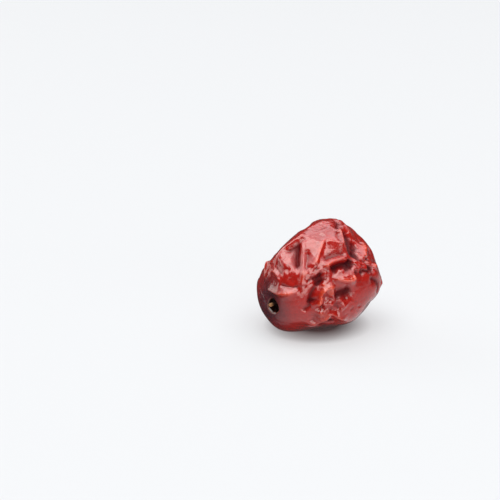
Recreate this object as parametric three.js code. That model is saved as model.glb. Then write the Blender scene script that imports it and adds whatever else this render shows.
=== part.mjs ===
// A dried jujube as it lies on a table: one wrinkled fruit, and the woody stub of its stalk in the cavity.
// Millimetres. +Z is up from the surface that the fruit rests on, and +X runs from the stem end to the tip.
import * as THREE from "three";
import { mergeVertices } from "three/addons/utils/BufferGeometryUtils.js";

// Driving dimensions of the fruit.
const FRUIT_LENGTH = 42; // stem end to tip, before the skin shrank into folds
const FRUIT_WIDTH = 32.5; // across the middle
const BLUNTNESS = 2.25; // 2 is an ellipse, and more is nearer to a barrel
const STEM_DROP_DEG = 8.6; // the stem end lies lower than the tip by this angle
const CENTRE_HEIGHT = 15.3; // of the fruit's middle above the table
const CENTRE_FORWARD = 0.15; // of the fruit's middle from the origin, towards the tip
const CENTRE_ASIDE = 0.3; // of the fruit's middle from the origin, towards the back
const PRESSED_EDGE = 0.5; // height over which the pressed flat turns up into the round side

// The stem cavity, the shallow dish round it, and the dimple at the tip.
const CAVITY_RADIUS = 2.15;
const CAVITY_STRETCH = 1.25; // the hole is this much wider than it is high
const CAVITY_DEPTH = 2.9;
const CAVITY_WALL = 0.5; // half the width of the hole's rounded rim
const CAVITY_FORWARD = -0.2; // of the hole from the fruit's axis, towards the front
const CAVITY_UP = -1.15; // of the hole from the fruit's axis, towards the top
const DISH_RADIUS = 5.2;
const DISH_DEPTH = 0.8;
const TIP_DIMPLE_RADIUS = 2.6;
const TIP_DIMPLE_DEPTH = 0.9;

// The stub of the stalk, which stands in the cavity beside its middle.
const STUB_RADIUS = 0.6;
const STUB_FOOT = 3.8; // its lower end, along the axis from the fruit's stem end
const STUB_END = 1.0; // its broken end, along the same axis
const STUB_FORWARD = -1.0; // of the stub from the hole's middle, towards the front
const STUB_UP = -0.4; // of the stub from the hole's middle, towards the top
const STUB_SIDES = 12;
const STUB_PROFILE = [
  // [share of the radius, share of the length from the foot]
  [0, 0],
  [1, 0],
  [0.9, 0.5],
  [0.95, 0.85],
  [0.6, 1],
  [0, 0.97],
];

// Fineness of the skin's mesh.
const MESH_STEPS = 21; // an icosahedron's edge is cut into this many steps, plus one
const STEM_END_FINENESS = 0.45; // how much closer the vertices stand round the cavity
const STEM_END_SPREAD = 0.5; // radians of the stem end that this reaches
const SAME_VERTEX = 1e-5; // vertices nearer than this on the unit ball are one
const TINY = 1e-9;

// How every fold is shaped.
const FOLD_CREST = 0.45; // roundness of a fold's crest, as a share of its width
const FOLD_FADE = 0.22; // share of a fold's line over which it fades in and out
const FOLD_REACH = 6; // a fold ends this many widths from its line
const LINE_STEP = 0.8; // spacing of the points on a fold's line
const LINE_MIN_STEPS = 4;
const SMOOTH_ROUND_CAVITY = 2.2; // folds grow to their full height over this distance from the hole

// Sides that dried flat: each is a plane this deep under the smooth fruit at a place, with a rounded edge.
// A place is [millimetres from the stem end along the axis, degrees round the axis]: 0 degrees is the top,
// 90 the front, 180 the underside and -90 the back.
const FLATS = [
  { at: [17, -35], depth: 1.4, edge: 1.6 },
  { at: [8, 18], depth: 1.5, edge: 0.9 },
  { at: [2, -47], depth: 3.0, edge: 1.6 },
  { at: [35, 45], depth: 3.4, edge: 1.6 },
  { at: [11, 151], depth: 1.9, edge: 1.4 },
  { at: [6, 154], depth: 1.4, edge: 1.4 },
  { at: [38, 86], depth: 1.1, edge: 1.4 },
  { at: [26, -72], depth: 1.5, edge: 1.8 },
  { at: [37, -110], depth: 1.6, edge: 1.8 },
  { at: [14, -122], depth: 1.3, edge: 1.6 },
  { at: [12.8, 28], depth: 0.9, edge: 0.8 },
  { at: [11.5, -46], depth: 2.6, edge: 1.4 },
  { at: [3, -4], depth: 1.2, edge: 0.6 },
];

// Broad swellings of the whole fruit, and a few small pillows and dents of its front.
const SWELLS = [
  { at: [32, 108], height: 1.2, reach: 8 },
  { at: [29, 1], height: 0.8, reach: 8 },
  { at: [4, 171], height: 0.9, reach: 6 },
  { at: [20, 123], height: 1.4, reach: 6 },
  { at: [25, 175], height: 0.7, reach: 7 },
  { at: [5.6, 18], height: 0.9, reach: 3.6 },
  { at: [22.2, 36], height: 0.6, reach: 2.8 },
  { at: [18.9, 67], height: 1.1, reach: 3.2 },
  { at: [3.9, 41], height: -0.7, reach: 2.2 },
];

// Folds of the skin. Each follows a line of places, and stands up as a ridge (height above 0) or sinks as a
// valley (height under 0), fading over its width to both sides and towards both ends. A fold that leans is
// wider on the right of its line, seen from outside, and as much narrower on the left.
const FRONT_FOLDS = [
  // The crease over the crown and the bright strip beside it.
  {
    height: -2.0, width: 1.2, lean: -0.3,
    line: [[30.8, 14], [30.1, 24], [29.5, 33], [27.6, 42], [25.3, 51], [24.7, 58]],
  },
  { height: -1.0, width: 0.9, line: [[32.3, -4], [29.3, 10], [26.7, 20]] },
  { height: 1.1, width: 0.9, lean: 0.3, line: [[27.5, 16], [27.2, 24], [25.4, 33], [23.3, 40]] },
  { height: -0.8, width: 0.8, line: [[26.1, 21], [24.5, 30], [23.0, 38]] },
  { height: 0.7, width: 1.3, line: [[33.2, 7], [33.5, 18], [33.1, 29]] },
  { height: 0.25, width: 1.2, line: [[21.1, -3], [24.5, -3], [27.1, 2]] },
  { height: -0.3, width: 1.2, line: [[19.6, 4], [22.7, 6], [25.7, 9]] },
  { height: 0.3, width: 1.2, line: [[19.7, 14], [23.1, 12], [26.7, 12]] },
  // The facet and the puckers behind the crease, towards the tip.
  { height: 1.3, width: 1.5, lean: 0.6, line: [[37.7, 27], [37.8, 39], [35.3, 53], [28.6, 63]] },
  { height: -1.5, width: 1.1, lean: -0.3, line: [[33.2, 33], [30.8, 45], [28.0, 53], [25.4, 60]] },
  { height: -0.6, width: 1.2, line: [[40.8, 45], [39.4, 60], [37.1, 68]] },
  { height: 1.1, width: 0.8, lean: -0.3, line: [[21.5, 64], [23.6, 69], [26.9, 68]] },
  { height: -1.0, width: 1.1, line: [[21.3, 68], [24.1, 72], [25.9, 76]] },
  { height: 0.6, width: 0.8, lean: -0.3, line: [[30.4, 64], [31.7, 72], [33.2, 80]] },
  { height: -0.9, width: 0.9, line: [[28.1, 62], [30.4, 64], [30.2, 76], [31.7, 82]] },
  { height: 0.8, width: 0.6, line: [[29.5, 63], [28.8, 72], [30.3, 78]] },
  { height: -1.0, width: 0.7, line: [[24.7, 70], [27.3, 75], [29.7, 81]] },
  { height: 0.4, width: 0.6, line: [[33.6, 69], [33.0, 75], [32.7, 81]] },
  // The broad face on the upper front, its notch, and the basin beside it.
  {
    height: 0.9, width: 1.0, lean: -0.3,
    line: [[16.2, 4], [13.4, 10], [10.6, 21], [8.2, 34], [6.4, 45], [4.8, 57], [4.1, 63]],
  },
  { height: -1.0, width: 0.9, line: [[13.1, 18], [11.3, 27], [9.3, 34], [8.3, 44]] },
  {
    height: 1.0, width: 1.0, lean: 0.5,
    line: [[21.0, 20], [18.1, 26], [15.2, 32], [12.3, 39], [9.2, 48]],
  },
  { height: 0.75, width: 1.3, lean: -0.3, line: [[18.8, 26], [20.7, 29], [21.7, 34], [24.3, 42]] },
  {
    height: -1.0, width: 1.2, lean: -0.3,
    line: [[13.8, 44], [15.9, 42], [18.0, 44], [20.0, 46], [22.6, 50]],
  },
  // The shelf at mid height: the lip over it, the undercut, its own edge and its foot.
  {
    height: 1.4, width: 0.9, lean: -0.2,
    line: [[11.7, 48], [13.7, 50], [15.9, 50], [18.0, 51], [20.2, 53], [22.5, 57]],
  },
  {
    height: -2.0, width: 1.5, lean: 0.6,
    line: [[13.8, 53], [15.9, 54], [17.7, 54], [20.0, 56], [22.2, 58], [23.7, 63]],
  },
  { height: 1.7, width: 1.5, lean: -0.5, line: [[13.5, 64], [15.5, 70], [18.4, 75], [22.2, 75]] },
  { height: -1.4, width: 1.6, line: [[12.1, 86], [14.5, 86], [17.3, 86], [19.7, 84]] },
  // The slanting ridge under the shelf and the small folds gathered round it.
  {
    height: -1.0, width: 1.0, lean: -0.3,
    line: [[12.5, 62], [9.6, 63], [7.0, 69], [5.6, 80], [5.6, 93]],
  },
  {
    height: 2.0, width: 1.5, lean: -0.4,
    line: [[13.9, 70], [11.2, 72], [9.1, 76], [7.8, 86], [7.4, 96]],
  },
  { height: -1.2, width: 0.9, line: [[11.2, 78], [9.6, 84], [8.8, 93], [8.2, 101]] },
  { height: -0.6, width: 0.7, line: [[7.9, 56], [9.7, 54], [11.8, 53]] },
  { height: -0.6, width: 0.7, line: [[7.8, 63], [9.6, 60], [11.4, 58]] },
  { height: 0.6, width: 0.7, line: [[9.0, 53], [10.9, 51], [12.6, 50]] },
  { height: -0.5, width: 0.7, line: [[6.4, 54], [7.5, 54], [8.8, 51]] },
  // The low front.
  { height: -0.9, width: 1.0, line: [[12.1, 84], [10.7, 88], [9.1, 92]] },
  { height: 0.8, width: 0.9, line: [[9.0, 94], [10.3, 92], [12.5, 96]] },
  { height: -1.0, width: 1.1, line: [[10.3, 99], [12.1, 102], [14.6, 106]] },
  { height: 0.7, width: 1.0, line: [[13.7, 87], [14.9, 94], [16.2, 105]] },
  {
    height: 1.2, width: 1.0, lean: -0.3,
    line: [[5.8, 138], [7.1, 123], [8.4, 117], [9.9, 111], [11.3, 106], [14.2, 114], [18.0, 120]],
  },
  { height: -1.3, width: 1.1, line: [[8.8, 144], [9.6, 128], [11.2, 122], [13.9, 123]] },
  { height: 0.8, width: 0.8, line: [[7.9, 98], [8.2, 105], [7.7, 114]] },
  { height: -0.7, width: 1.0, line: [[6.1, 120], [6.8, 110], [7.1, 102]] },
  { height: -0.7, width: 0.8, line: [[3.7, 98], [4.7, 92], [6.0, 88]] },
  // The shoulder over the stem end, its crest and the small facet above it.
  { height: -1.3, width: 1.0, line: [[14.1, 3], [11.4, 10], [9.0, 18], [7.2, 27], [5.8, 27]] },
  { height: -0.5, width: 1.0, line: [[5.7, -12], [4.7, 4], [4.9, 18], [5.8, 27]] },
  { height: 1.1, width: 1.1, lean: -0.3, line: [[7.4, -38], [4.9, -42], [3.3, -48], [2.0, -56]] },
  { height: 0.6, width: 0.6, line: [[3.2, -32], [2.7, -7], [2.2, 10], [1.8, 26]] },
  { height: -0.4, width: 0.7, line: [[4.1, -14], [3.5, 4], [3.5, 21]] },
  { height: 1.5, width: 0.9, lean: -0.3, line: [[1.4, -60], [0.4, -3], [1.3, 53], [2.7, 60], [4.3, 63]] },
  { height: -0.8, width: 0.7, line: [[1.5, 21], [2.4, 44], [3.6, 53], [5.0, 54]] },
  { height: 0.8, width: 0.8, line: [[9.3, -6], [11.4, -3], [14.5, 0], [18.0, 0]] },
  { height: -0.8, width: 0.9, line: [[8.5, -2], [10.9, 2], [13.5, 4], [17.0, 4]] },
];

// Folds of the back and the far end, which run mostly along the fruit.
const BACK_FOLDS = [
  { height: -1.9, width: 1.4, lean: 0.3, line: [[14, -52], [16, -50], [19, -50], [24, -47], [30, -52]] },
  { height: 1.4, width: 1.5, lean: -0.3, line: [[17, -69], [20, -66], [23, -62], [27, -61], [32, -67]] },
  { height: -1.6, width: 1.3, line: [[5, -78], [10, -76], [15, -82], [21, -80], [27, -86], [31, -84]] },
  { height: 1.3, width: 1.3, lean: 0.3, line: [[9, -92], [14, -96], [20, -95], [27, -101], [34, -99]] },
  { height: -1.7, width: 1.4, lean: -0.2, line: [[11, -110], [17, -112], [24, -117], [31, -113]] },
  { height: 1.1, width: 1.2, line: [[6, -112], [11, -122], [17, -127], [24, -130], [30, -127]] },
  { height: -1.2, width: 1.2, line: [[6, -128], [12, -137], [19, -141], [26, -140]] },
  { height: -1.3, width: 1.2, line: [[19, -18], [24, -27], [29, -31], [34, -29], [38, -38]] },
  { height: 0.6, width: 1.2, line: [[24, -20], [29, -23], [34, -20], [38, -14]] },
  { height: -1.1, width: 1.1, line: [[18, -51], [20, -58], [23, -68], [27, -77]] },
  { height: 1.0, width: 1.1, line: [[13, -84], [17, -75], [22, -71], [28, -75]] },
  { height: -1.0, width: 1.2, line: [[27, -87], [30, -95], [31, -105], [35, -113]] },
  { height: 0.9, width: 1.1, line: [[30, -52], [33, -70], [35, -88], [38, -96]] },
  { height: -1.0, width: 1.1, line: [[27, 84], [30, 92], [32, 103], [31, 116]] },
  { height: 0.7, width: 1.2, line: [[34, 106], [36, 113], [35.5, 122], [34, 132]] },
  { height: -0.9, width: 1.2, line: [[24, 116], [29, 124], [34, 128], [38, 122]] },
];

// Short folds scattered over the sides that the long ones leave bare, drawn from a fixed seed.
const SCATTERED_FOLDS = 34;
const SCATTER_SEED = 4;
const SCATTER_STATIONS = [10, 38];
const SCATTER_DEGREES = [-158, -40]; // over the whole back
const SCATTER_LENGTH = [5, 11];
const SCATTER_HEIGHT = [0.35, 0.8];
const SCATTER_WIDTH = [0.7, 1.1];
const SCATTER_SLANT_DEG = 38; // most that a short fold turns from the fruit's axis
const SCATTER_BEND_DEG = 6.5; // most that its middle stands aside
const SCATTER_LEAN = 0.4;
const RANDOM_FACTOR = 48271; // with the modulus, gives whole numbers that come out alike on any machine
const RANDOM_MODULUS = 2147483647;

// Pleats that run into the dimple at the tip.
const TIP_PLEATS = 9;
const TIP_PLEAT = { height: -0.45, width: 0.8, stations: [41.2, 39.6, 37, 34.5], twist: 5 };

// The fruit's own directions: from stem end to tip, out of its upper side, and out of its front side.
const drop = THREE.MathUtils.degToRad(STEM_DROP_DEG);
const toTip = new THREE.Vector3(Math.cos(drop), 0, Math.sin(drop));
const toTop = new THREE.Vector3(-Math.sin(drop), 0, Math.cos(drop));
const toFront = new THREE.Vector3(0, -1, 0);
const middle = new THREE.Vector3(CENTRE_FORWARD, CENTRE_ASIDE, CENTRE_HEIGHT);
const halfLength = FRUIT_LENGTH / 2;
const halfWidth = FRUIT_WIDTH / 2;

// A point of the smooth fruit from how far it is along the axis and out from it, with its outward direction.
function bodyPoint(along, out, angle) {
  const outward = toTop.clone().multiplyScalar(Math.cos(angle)).addScaledVector(toFront, Math.sin(angle));
  const place = toTip.clone().multiplyScalar(along).addScaledVector(outward, out);
  const steepAlong = (Math.sign(along) * Math.abs(along / halfLength) ** (BLUNTNESS - 1)) / halfLength;
  const steepOut = (out / halfWidth) ** (BLUNTNESS - 1) / halfWidth;
  const normal = toTip.clone().multiplyScalar(steepAlong).addScaledVector(outward, steepOut).normalize();
  return { place, normal };
}

// The same from a place on the fruit.
function onBody([station, degrees]) {
  const along = station - halfLength;
  const out = halfWidth * (1 - Math.abs(along / halfLength) ** BLUNTNESS) ** (1 / BLUNTNESS);
  return bodyPoint(along, out, THREE.MathUtils.degToRad(degrees));
}

function makeFold({ height, width, lean = 0, line }) {
  const curve = new THREE.CatmullRomCurve3(line.map((place) => onBody(place).place));
  const steps = Math.max(LINE_MIN_STEPS, Math.ceil(curve.getLength() / LINE_STEP));
  const points = curve.getSpacedPoints(steps);
  const far = width * (1 + Math.abs(lean)) * FOLD_REACH;
  const reach = new THREE.Box3().setFromPoints(points).expandByScalar(far);
  return { height, width, lean, points, reach };
}

// Numbers between two limits, the same ones on every build.
function makeRandom(seed) {
  let state = seed;
  return ([low, high]) => {
    state = (state * RANDOM_FACTOR) % RANDOM_MODULUS;
    return low + ((high - low) * state) / RANDOM_MODULUS;
  };
}

function scatterFolds() {
  const random = makeRandom(SCATTER_SEED);
  const folds = [];
  for (let i = 0; i < SCATTERED_FOLDS; i++) {
    const station = random(SCATTER_STATIONS);
    const degrees = random(SCATTER_DEGREES);
    const reach = random(SCATTER_LENGTH) / 2;
    const slant = THREE.MathUtils.degToRad(random([-SCATTER_SLANT_DEG, SCATTER_SLANT_DEG]));
    const bend = random([-SCATTER_BEND_DEG, SCATTER_BEND_DEG]);
    const size = random(SCATTER_HEIGHT);
    const width = random(SCATTER_WIDTH);
    const lean = random([-SCATTER_LEAN, SCATTER_LEAN]);
    const stationStep = reach * Math.cos(slant);
    const degreeStep = THREE.MathUtils.radToDeg((reach * Math.sin(slant)) / halfWidth);
    const before = Math.max(1, station - stationStep);
    const after = Math.min(FRUIT_LENGTH - 1, station + stationStep);
    const line = [
      [before, degrees - degreeStep],
      [station, degrees + bend],
      [after, degrees + degreeStep],
    ];
    folds.push({ height: i % 2 === 0 ? size : -size, width, lean, line });
  }
  return folds;
}

function tipPleats() {
  const pleats = [];
  for (let i = 0; i < TIP_PLEATS; i++) {
    const degrees = (360 * i) / TIP_PLEATS;
    const sway = [-TIP_PLEAT.twist, TIP_PLEAT.twist];
    const line = TIP_PLEAT.stations.map((station, k) => [station, degrees + sway[k % 2]]);
    pleats.push({ height: TIP_PLEAT.height, width: TIP_PLEAT.width, line });
  }
  return pleats;
}

const folds = [...FRONT_FOLDS, ...BACK_FOLDS, ...scatterFolds(), ...tipPleats()].map(makeFold);

const nearest = new THREE.Vector3();
const segment = new THREE.Line3();
const offset = new THREE.Vector3();
const aside = new THREE.Vector3();

// How far a fold lifts or sinks the skin at a place of the smooth fruit.
function foldHeight(fold, place, normal) {
  if (!fold.reach.containsPoint(place)) return 0;
  let best = Infinity;
  let bestAt = 0;
  let bestSide = 0;
  const last = fold.points.length - 1;
  for (let i = 0; i < last; i++) {
    segment.set(fold.points[i], fold.points[i + 1]);
    const t = segment.closestPointToPointParameter(place, true);
    segment.at(t, nearest);
    offset.subVectors(place, nearest);
    const distance = offset.length();
    if (distance < best) {
      segment.delta(aside).cross(normal);
      best = distance;
      bestAt = (i + t) / last;
      bestSide = aside.dot(offset) / Math.max(segment.distance() * distance, TINY);
    }
  }
  const width = fold.width * (1 + fold.lean * bestSide);
  if (best > width * FOLD_REACH) return 0;
  const crest = Math.sqrt((best / width) ** 2 + FOLD_CREST ** 2) - FOLD_CREST;
  const ends = THREE.MathUtils.smoothstep(Math.min(bestAt, 1 - bestAt), 0, FOLD_FADE);
  return fold.height * Math.exp(-crest) * ends;
}

// Zero under a level, unchanged over it, and rounded between.
function softFloor(height, edge) {
  if (height > edge) return height;
  if (height < -edge) return 0;
  return (height + edge) ** 2 / (4 * edge);
}

const flats = FLATS.map(({ at, depth, edge }) => ({ ...onBody(at), depth, edge }));
const swells = SWELLS.map(({ at, height, reach }) => ({ ...onBody(at), height, reach }));

function flatten(skin) {
  for (const { place, normal, depth, edge } of flats) {
    const over = offset.subVectors(skin, place).dot(normal) + depth;
    skin.addScaledVector(normal, -over - softFloor(-over, edge));
  }
}

// Distance from the middle of the stem cavity, seen along the fruit's axis.
function fromCavity(out, angle) {
  const forward = (out * Math.sin(angle) - CAVITY_FORWARD) / CAVITY_STRETCH;
  const up = out * Math.cos(angle) - CAVITY_UP;
  return Math.hypot(forward, up);
}

// The stem cavity and the tip's dimple, as depth into the fruit.
function cavityDepth(far) {
  const dish = DISH_DEPTH * Math.exp(-((far / DISH_RADIUS) ** 2));
  const wall = THREE.MathUtils.smoothstep(far, CAVITY_RADIUS - CAVITY_WALL, CAVITY_RADIUS + CAVITY_WALL);
  return dish + CAVITY_DEPTH * (1 - wall);
}

function tipDepth(out) {
  return TIP_DIMPLE_DEPTH * Math.exp(-((out / TIP_DIMPLE_RADIUS) ** 2));
}

// The skin's place for one direction from the fruit's middle.
function skinPoint(direction) {
  const polar = Math.acos(THREE.MathUtils.clamp(-direction.dot(toTip), -1, 1));
  const closer = polar * (1 - STEM_END_FINENESS * Math.exp(-((polar / STEM_END_SPREAD) ** 2)));
  const angle = Math.atan2(direction.dot(toFront), direction.dot(toTop));
  const cosine = Math.cos(closer);
  const sine = Math.sin(closer);
  const scale = (Math.abs(cosine) ** BLUNTNESS + sine ** BLUNTNESS) ** (-1 / BLUNTNESS);
  const along = -halfLength * cosine * scale;
  const out = halfWidth * sine * scale;
  const { place, normal } = bodyPoint(along, out, angle);
  const skin = place.clone();
  flatten(skin);
  for (const swell of swells) {
    const far = swell.place.distanceTo(place);
    skin.addScaledVector(normal, swell.height * Math.exp(-((far / swell.reach) ** 2)));
  }
  let height = 0;
  for (const fold of folds) height += foldHeight(fold, place, normal);
  if (along < 0) {
    const far = fromCavity(out, angle);
    const rim = CAVITY_RADIUS + CAVITY_WALL;
    skin.addScaledVector(normal, height * THREE.MathUtils.smoothstep(far, rim, rim + SMOOTH_ROUND_CAVITY));
    skin.addScaledVector(toTip, cavityDepth(far));
  } else {
    skin.addScaledVector(normal, height);
    skin.addScaledVector(toTip, -tipDepth(out));
  }
  skin.add(middle);
  skin.z = softFloor(skin.z, PRESSED_EDGE);
  return skin;
}

function makeFruit() {
  const ball = new THREE.IcosahedronGeometry(1, MESH_STEPS);
  ball.deleteAttribute("normal");
  ball.deleteAttribute("uv");
  const geometry = mergeVertices(ball, SAME_VERTEX);
  const positions = geometry.getAttribute("position");
  const direction = new THREE.Vector3();
  for (let i = 0; i < positions.count; i++) {
    direction.fromBufferAttribute(positions, i).normalize();
    const skin = skinPoint(direction);
    positions.setXYZ(i, skin.x, skin.y, skin.z);
  }
  geometry.computeVertexNormals();
  const skin = new THREE.MeshStandardMaterial({ color: 0x7d1517, roughness: 0.3, metalness: 0 });
  const fruit = new THREE.Mesh(geometry, skin);
  fruit.name = "fruit";
  return fruit;
}

// The stub is turned about its own axis, a little thicker at the foot and worn round at the broken end.
function makeStub() {
  const length = STUB_FOOT - STUB_END;
  const profile = STUB_PROFILE.map(([out, up]) => new THREE.Vector2(out * STUB_RADIUS, up * length));
  const wood = new THREE.MeshStandardMaterial({ color: 0x9a6a3c, roughness: 0.8, metalness: 0 });
  const stub = new THREE.Mesh(new THREE.LatheGeometry(profile, STUB_SIDES), wood);
  const outward = toTip.clone().negate();
  stub.quaternion.setFromUnitVectors(new THREE.Vector3(0, 1, 0), outward);
  stub.position
    .copy(middle)
    .addScaledVector(toTip, STUB_FOOT - halfLength)
    .addScaledVector(toFront, CAVITY_FORWARD + STUB_FORWARD)
    .addScaledVector(toTop, CAVITY_UP + STUB_UP);
  stub.name = "stem_stub";
  return stub;
}

const jujube = new THREE.Group();
jujube.add(makeFruit(), makeStub());

export default jujube;
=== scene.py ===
import math
import bpy
import numpy as np
from mathutils import Matrix, Vector


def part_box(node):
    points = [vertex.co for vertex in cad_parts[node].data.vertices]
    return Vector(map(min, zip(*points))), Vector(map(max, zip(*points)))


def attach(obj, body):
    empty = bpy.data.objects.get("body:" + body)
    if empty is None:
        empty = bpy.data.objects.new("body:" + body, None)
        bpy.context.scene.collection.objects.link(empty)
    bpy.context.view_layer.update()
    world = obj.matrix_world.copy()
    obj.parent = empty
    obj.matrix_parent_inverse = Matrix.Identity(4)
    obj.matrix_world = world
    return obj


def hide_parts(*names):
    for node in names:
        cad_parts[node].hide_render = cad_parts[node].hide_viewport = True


# %% [markdown]
# # A dried jujube
# The piece is a whole jujube, sun-dried until the flesh shrank and the skin fell into folds. A thin
# natural wax gives it soft, broad highlights, and it lies on a small flat spot.
#
# The plain CAD solid fixes its size and place. This script grows a finer skin from the same measurements
# and adds the small wrinkles that the solid leaves out. Then it gives skin and stalk their materials.

# %% Load the fixed frame and measure it
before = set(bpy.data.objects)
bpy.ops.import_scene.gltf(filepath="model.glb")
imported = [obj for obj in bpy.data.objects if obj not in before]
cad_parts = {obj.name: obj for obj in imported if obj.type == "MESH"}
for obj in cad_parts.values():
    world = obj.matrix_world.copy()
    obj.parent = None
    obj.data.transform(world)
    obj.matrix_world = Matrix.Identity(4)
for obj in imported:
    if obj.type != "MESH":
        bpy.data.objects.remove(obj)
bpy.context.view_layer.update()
MM = 0.001
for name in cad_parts:
    low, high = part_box(name)
    print(name, "is", [round((far - near) / MM, 1) for near, far in zip(low, high)], "mm")

# %% [markdown]
# ## The smooth fruit
# Before it dries, the fruit is a plump barrel, a little longer than wide. A plain ellipse would look too
# pointed, so the outline uses a power a little over 2. The stem end lies lower than the tip, because the
# shrunken fruit has rolled onto its fullest side.

# %% Size and pose of the smooth fruit
FRUIT_LENGTH = 42  # stem end to tip, before the skin shrank into folds
FRUIT_WIDTH = 32.5  # across the middle
BLUNTNESS = 2.25  # 2 is an ellipse, and more is nearer to a barrel
STEM_DROP_DEG = 8.6  # the stem end lies lower than the tip by this angle
CENTRE_HEIGHT = 15.3  # of the fruit's middle above the table
CENTRE_FORWARD = 0.15  # of the fruit's middle from the origin, towards the tip
CENTRE_ASIDE = 0.3  # of the fruit's middle from the origin, towards the back
drop = math.radians(STEM_DROP_DEG)
to_tip = np.array([math.cos(drop), 0.0, math.sin(drop)])
to_top = np.array([-math.sin(drop), 0.0, math.cos(drop)])
to_front = np.array([0.0, -1.0, 0.0])
middle = np.array([CENTRE_FORWARD, CENTRE_ASIDE, CENTRE_HEIGHT])
half_length = FRUIT_LENGTH / 2
half_width = FRUIT_WIDTH / 2
print("smooth fruit", FRUIT_LENGTH, "x", FRUIT_WIDTH, "mm, stem end", STEM_DROP_DEG, "degrees down")


# %% Points and outward directions of the smooth fruit
def body_points(along, out, angle):
    outward = np.cos(angle)[:, None] * to_top + np.sin(angle)[:, None] * to_front
    places = along[:, None] * to_tip + out[:, None] * outward
    steep_along = np.sign(along) * np.abs(along / half_length) ** (BLUNTNESS - 1) / half_length
    steep_out = (out / half_width) ** (BLUNTNESS - 1) / half_width
    normals = steep_along[:, None] * to_tip + steep_out[:, None] * outward
    return places, normals / np.linalg.norm(normals, axis=1, keepdims=True)


def on_body(spots):
    """Spots are [millimetres from the stem end, degrees round the axis]: 0 is the top and 90 the front."""
    spots = np.array(spots, float)
    along = spots[:, 0] - half_length
    out = half_width * (1 - np.abs(along / half_length) ** BLUNTNESS) ** (1 / BLUNTNESS)
    return body_points(along, out, np.radians(spots[:, 1]))


# %% [markdown]
# ## A grid for the skin
# The skin is one closed sheet of rings round the axis. The rings stand about a quarter of a millimetre
# apart, which is the width of the finest wrinkle that shows from a step away.

# %% Rings and steps of the grid
RINGS = 232
STEPS = 424

polar, around = np.meshgrid(
    np.linspace(0, math.pi, RINGS + 1)[1:-1],
    np.linspace(0, 2 * math.pi, STEPS, endpoint=False),
    indexing="ij",
)
polar = np.concatenate([[0.0], polar.ravel(), [math.pi]])
around = np.concatenate([[0.0], around.ravel(), [0.0]])
scale = (np.abs(np.cos(polar)) ** BLUNTNESS + np.sin(polar) ** BLUNTNESS) ** (-1 / BLUNTNESS)
along = -half_length * np.cos(polar) * scale
out = half_width * np.sin(polar) * scale
places, normals = body_points(along, out, around)
print("skin grid has", len(places), "points")

# %% [markdown]
# ## How one fold shapes the skin
# Dried skin does not ripple like water. It creases sharply along a line and falls away gently on both
# sides. Each fold is therefore a line over the fruit, with a height that dies away from it. Some lean:
# one side is steep and the other long. The same rule makes ridges and valleys.

# %% Shape of a fold
FOLD_FADE = 0.22  # share of a fold's line over which it fades in and out
FOLD_REACH = 6  # a fold ends this many widths from its line
LINE_STEP = 0.8  # spacing of the points on a fold's line
LINE_MIN_STEPS = 4
TINY = 1e-9
FINE_CREST = 0.3  # the finer grid carries a crisper crest than the CAD solid


def smoothstep(x, low, high):
    t = np.clip((x - low) / (high - low), 0, 1)
    return t * t * (3 - 2 * t)


# %% Smooth line through a few places
CURVE_SAMPLES = 12


def smooth_line(points):
    """A curve through the points, without overshoot between uneven ones, cut into even steps."""
    padded = np.vstack([2 * points[0] - points[1], points, 2 * points[-1] - points[-2]])
    curve = []
    for p0, p1, p2, p3 in zip(padded, padded[1:], padded[2:], padded[3:]):
        gaps = [math.sqrt(np.linalg.norm(b - a)) for a, b in ((p0, p1), (p1, p2), (p2, p3))]
        leave = p2 - p1 + gaps[1] * ((p1 - p0) / gaps[0] - (p2 - p0) / (gaps[0] + gaps[1]))
        arrive = p2 - p1 + gaps[1] * ((p3 - p2) / gaps[2] - (p3 - p1) / (gaps[1] + gaps[2]))
        for t in np.arange(CURVE_SAMPLES) / CURVE_SAMPLES:
            start = (2 * t**3 - 3 * t**2 + 1) * p1 + (t**3 - 2 * t**2 + t) * leave
            curve.append(start + (3 * t**2 - 2 * t**3) * p2 + (t**3 - t**2) * arrive)
    curve = np.array(curve + [points[-1]])
    run = np.concatenate([[0], np.cumsum(np.linalg.norm(np.diff(curve, axis=0), axis=1))])
    steps = max(LINE_MIN_STEPS, math.ceil(run[-1] / LINE_STEP))
    even = np.linspace(0, run[-1], steps + 1)
    return np.stack([np.interp(even, run, curve[:, k]) for k in range(3)], axis=1)


# %% Height that a fold gives to every point near it
def add_fold(height_map, fold, crest):
    line = smooth_line(on_body(fold["line"])[0])
    width = fold["width"]
    lean = fold.get("lean", 0)
    reach = width * (1 + abs(lean)) * FOLD_REACH
    inside = np.all((places > line.min(0) - reach) & (places < line.max(0) + reach), axis=1)
    near = np.nonzero(inside)[0]
    best = np.full(len(near), np.inf)
    best_at = np.zeros(len(near))
    best_side = np.zeros(len(near))
    for i, (a, b) in enumerate(zip(line, line[1:])):
        run = b - a
        t = np.clip(((places[near] - a) @ run) / (run @ run), 0, 1)
        offset = places[near] - (a + t[:, None] * run)
        distance = np.linalg.norm(offset, axis=1)
        side = (np.cross(run, normals[near]) * offset).sum(1)
        side /= np.maximum(np.linalg.norm(run) * distance, TINY)
        nearer = distance < best
        best[nearer] = distance[nearer]
        best_at[nearer] = (i + t[nearer]) / (len(line) - 1)
        best_side[nearer] = side[nearer]
    widths = width * (1 + lean * best_side)
    fall = np.sqrt((best / widths) ** 2 + crest**2) - crest
    ends = smoothstep(np.minimum(best_at, 1 - best_at), 0, FOLD_FADE)
    lift = fold["height"] * np.exp(-fall) * ends
    lift[best > widths * FOLD_REACH] = 0
    height_map[near] += lift


# %% [markdown]
# ## The long folds of the front
# These are the folds that give this fruit its face: a crease over the crown, a broad face on the upper
# front, a shelf at mid height with a dark undercut, and a slanting ridge with small gathers round it.
# Their lines are written down one by one, because no random rule would put them where they lie.

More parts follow.
